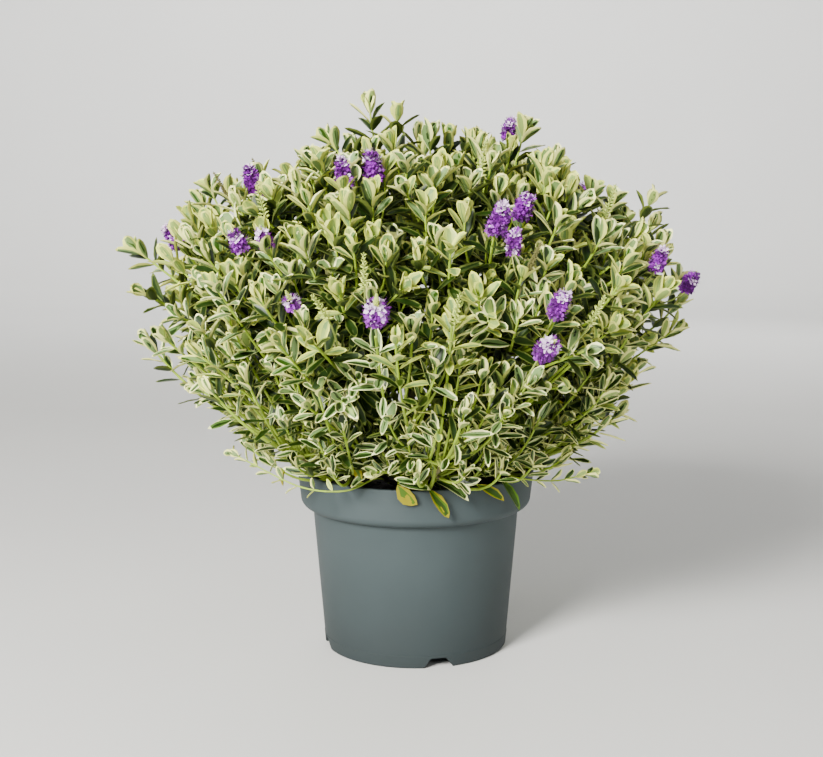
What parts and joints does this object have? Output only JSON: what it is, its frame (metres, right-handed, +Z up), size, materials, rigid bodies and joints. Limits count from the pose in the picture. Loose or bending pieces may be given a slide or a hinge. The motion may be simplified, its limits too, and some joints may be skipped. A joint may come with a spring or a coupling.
{
  "type": "hebe shrub in a nursery pot",
  "caption": "Rounded evergreen shrub with variegated leaves and violet flower spikes, standing in a round tapered nursery pot.",
  "frame": {"origin": "centre of the pot's flat underside", "axes": "+Z up through the pot and the main stem, +X to the plant's right, -Y its front"},
  "size_m": [0.561, 0.5419, 0.5384],
  "materials": {
    "pot": "moulded, satin-matt grey-green",
    "compost": "moist dark compost, crumbly",
    "bark": "young grey-brown bark",
    "green_stem": "smooth yellow-green shoot",
    "foliage": "dark green leaves with broad cream margins, satin"
  },
  "bodies": {
    "root": {"pot": "pot", "soil": "compost", "main_stem": "bark", "low_bough_1": "green_stem", "low_foliage_1": "foliage", "low_bough_2": "green_stem", "low_foliage_2": "foliage", "low_bough_3": "green_stem", "low_foliage_3": "foliage", "low_bough_4": "green_stem", "low_foliage_4": "foliage", "low_bough_5": "green_stem", "low_foliage_5": "foliage", "low_bough_6": "green_stem", "low_foliage_6": "foliage", "low_bough_7": "green_stem", "low_foliage_7": "foliage", "middle_bough_1": "green_stem", "middle_foliage_1": "foliage", "middle_bough_2": "green_stem", "middle_foliage_2": "foliage", "middle_bough_3": "green_stem", "middle_foliage_3": "foliage", "middle_bough_4": "green_stem", "middle_foliage_4": "foliage", "middle_bough_5": "green_stem", "middle_foliage_5": "foliage", "middle_bough_6": "green_stem", "middle_foliage_6": "foliage", "upper_bough_1": "green_stem", "upper_foliage_1": "foliage", "upper_bough_2": "green_stem", "upper_foliage_2": "foliage", "upper_bough_3": "green_stem", "upper_foliage_3": "foliage", "upper_bough_4": "green_stem", "upper_foliage_4": "foliage", "top_bough": "green_stem", "top_foliage": "foliage", "trailing_shoot_left": "foliage", "trailing_shoot_right": "foliage"}
  },
  "joints": []
}
